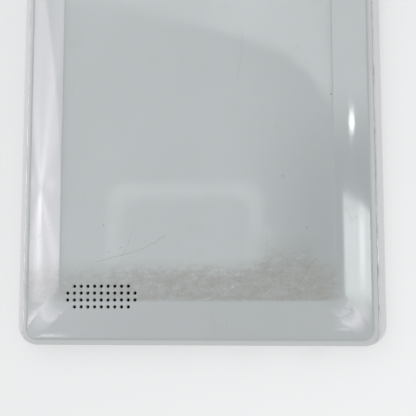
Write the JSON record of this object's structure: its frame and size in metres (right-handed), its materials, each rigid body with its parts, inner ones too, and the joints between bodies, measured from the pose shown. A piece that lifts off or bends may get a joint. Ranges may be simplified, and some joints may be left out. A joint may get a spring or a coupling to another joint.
{
  "type": "e-reader",
  "caption": "Slim e-reader lying on its screen: snap-fit glossy rear cover with a speaker grille, rim housing, page keys, four-way ring, sockets and full insides.",
  "frame": {"origin": "middle of the case's footprint on the surface it lies on, at the level of the bezel's face", "axes": "+Z out of the rear cover, away from the screen; +Y to the top end of the device; +X to the reader's left, as the reader looks at the screen"},
  "size_m": [0.122, 0.19, 0.0125],
  "materials": {
    "case_white": "glossy moulded white, worn and scratched",
    "screen_film": "matt grey front laminate",
    "screen_glass": "ground glass backplane",
    "foam": "closed-cell black foam",
    "ribbon_film": "amber polyimide film",
    "connector_ivory": "ivory connector moulding",
    "chassis_metal": "die-cast, fine matt grain",
    "screw_steel": "zinc-plated",
    "circuit_board": "green solder mask",
    "chip_resin": "black moulding resin",
    "small_parts": "ceramic and ferrite",
    "tinned_steel": "tinned sheet steel",
    "battery_foil": "laminated foil pouch",
    "tape_black": "double-sided tape",
    "lead_sleeve": "soft sleeve over stranded wire",
    "black_plastic": "fine spark-eroded grain",
    "magnet_nickel": "nickel-plated",
    "cone_film": "pressed polymer film",
    "speaker_fabric": "fine black dust cloth",
    "card_plastic": "black card shell",
    "key_white": "satin white moulding",
    "switch_metal": "stamped switch shell",
    "pivot_plastic": "acetal",
    "dome_film": "film with snap domes",
    "clear_plastic": "clear acrylic",
    "lamp_resin": "diffused resin"
  },
  "bodies": {
    "housing": {"front_housing": "case_white", "rear_cover": "case_white", "display_laminate": "screen_film", "display_glass": "screen_glass", "display_gasket": "foam", "display_ribbon": "ribbon_film", "display_connector": "connector_ivory", "chassis": "chassis_metal", "chassis_screws": "screw_steel", "main_board": "circuit_board", "board_screws": "screw_steel", "processor": "chip_resin", "memory_chips": "chip_resin", "power_chip": "chip_resin", "board_parts": "small_parts", "shield_can": "tinned_steel", "battery_cell": "battery_foil", "battery_tape": "tape_black", "battery_board": "circuit_board", "battery_leads": "lead_sleeve", "battery_plug": "connector_ivory", "speaker_frame": "black_plastic", "speaker_magnet": "magnet_nickel", "speaker_gasket": "foam", "speaker_cloth": "speaker_fabric", "speaker_leads": "lead_sleeve", "usb_socket": "tinned_steel", "headphone_socket": "black_plastic", "card_socket": "tinned_steel", "reset_switch": "black_plastic", "left_switch_strip": "circuit_board", "right_switch_strip": "circuit_board", "page_switches": "switch_metal", "dome_sheet": "dome_film", "key_board": "circuit_board", "key_board_screws": "screw_steel", "power_switch": "switch_metal", "power_board": "circuit_board", "volume_switches": "switch_metal", "volume_board": "circuit_board", "light_pipe": "clear_plastic", "status_lamp": "lamp_resin"},
    "left_next_key": {"left_next_key": "key_white"},
    "left_previous_key": {"left_previous_key": "key_white"},
    "right_next_key": {"right_next_key": "key_white"},
    "right_previous_key": {"right_previous_key": "key_white"},
    "home_key": {"home_key": "key_white"},
    "back_key": {"back_key": "key_white"},
    "ring_pivot": {"ring_pivot": "pivot_plastic"},
    "navigation_ring": {"navigation_ring": "key_white"},
    "select_key": {"select_key": "key_white"},
    "volume_rocker": {"volume_rocker": "key_white"},
    "power_slider": {"power_slider": "key_white"},
    "memory_card": {"memory_card": "card_plastic"},
    "reset_plunger": {"reset_plunger": "key_white"},
    "speaker_cone": {"speaker_cone": "cone_film"}
  },
  "joints": [
    {"name": "left_next_key_press", "type": "slide", "parent": "housing", "child": "left_next_key", "axis": [0, 0, 1], "range_m": [0, 0.00035], "stiffness_N_per_m": 1200},
    {"name": "left_previous_key_press", "type": "slide", "parent": "housing", "child": "left_previous_key", "axis": [0, 0, 1], "range_m": [0, 0.00035], "stiffness_N_per_m": 1200},
    {"name": "right_next_key_press", "type": "slide", "parent": "housing", "child": "right_next_key", "axis": [0, 0, 1], "range_m": [0, 0.00035], "stiffness_N_per_m": 1200},
    {"name": "right_previous_key_press", "type": "slide", "parent": "housing", "child": "right_previous_key", "axis": [0, 0, 1], "range_m": [0, 0.00035], "stiffness_N_per_m": 1200},
    {"name": "home_key_press", "type": "slide", "parent": "housing", "child": "home_key", "axis": [0, 0, 1], "range_m": [0, 0.00035], "stiffness_N_per_m": 1200},
    {"name": "back_key_press", "type": "slide", "parent": "housing", "child": "back_key", "axis": [0, 0, 1], "range_m": [0, 0.00035], "stiffness_N_per_m": 1200},
    {"name": "select_press", "type": "slide", "parent": "housing", "child": "select_key", "axis": [0, 0, 1], "range_m": [0, 0.00035], "stiffness_N_per_m": 1200},
    {"name": "ring_tilt_up_down", "type": "hinge", "parent": "housing", "child": "ring_pivot", "pos_m": [0, -0.0705, 0.00295], "axis": [1, 0, 0], "range_deg": [-2, 2], "stiffness_Nm_per_rad": 0.15},
    {"name": "ring_tilt_left_right", "type": "hinge", "parent": "ring_pivot", "child": "navigation_ring", "pos_m": [0, -0.0705, 0.00295], "axis": [0, 1, 0], "range_deg": [-2, 2], "stiffness_Nm_per_rad": 0.15},
    {"name": "volume_rock", "type": "hinge", "parent": "housing", "child": "volume_rocker", "pos_m": [-0.0562, 0.0658, 0.0038], "axis": [0, 0, 1], "range_deg": [-2.5, 2.5], "stiffness_Nm_per_rad": 0.25},
    {"name": "power_slide", "type": "slide", "parent": "housing", "child": "power_slider", "axis": [1, 0, 0], "range_m": [0, 0.0025], "stiffness_N_per_m": 300},
    {"name": "card_pull", "type": "slide", "parent": "housing", "child": "memory_card", "axis": [0, -1, 0], "range_m": [0, 0.014]},
    {"name": "reset_press", "type": "slide", "parent": "housing", "child": "reset_plunger", "axis": [0, 1, 0], "range_m": [0, 0.0003], "stiffness_N_per_m": 600},
    {"name": "speaker_cone_travel", "type": "slide", "parent": "housing", "child": "speaker_cone", "axis": [0, 0, 1], "range_m": [-0.0003, 0.0003], "stiffness_N_per_m": 1500}
  ]
}
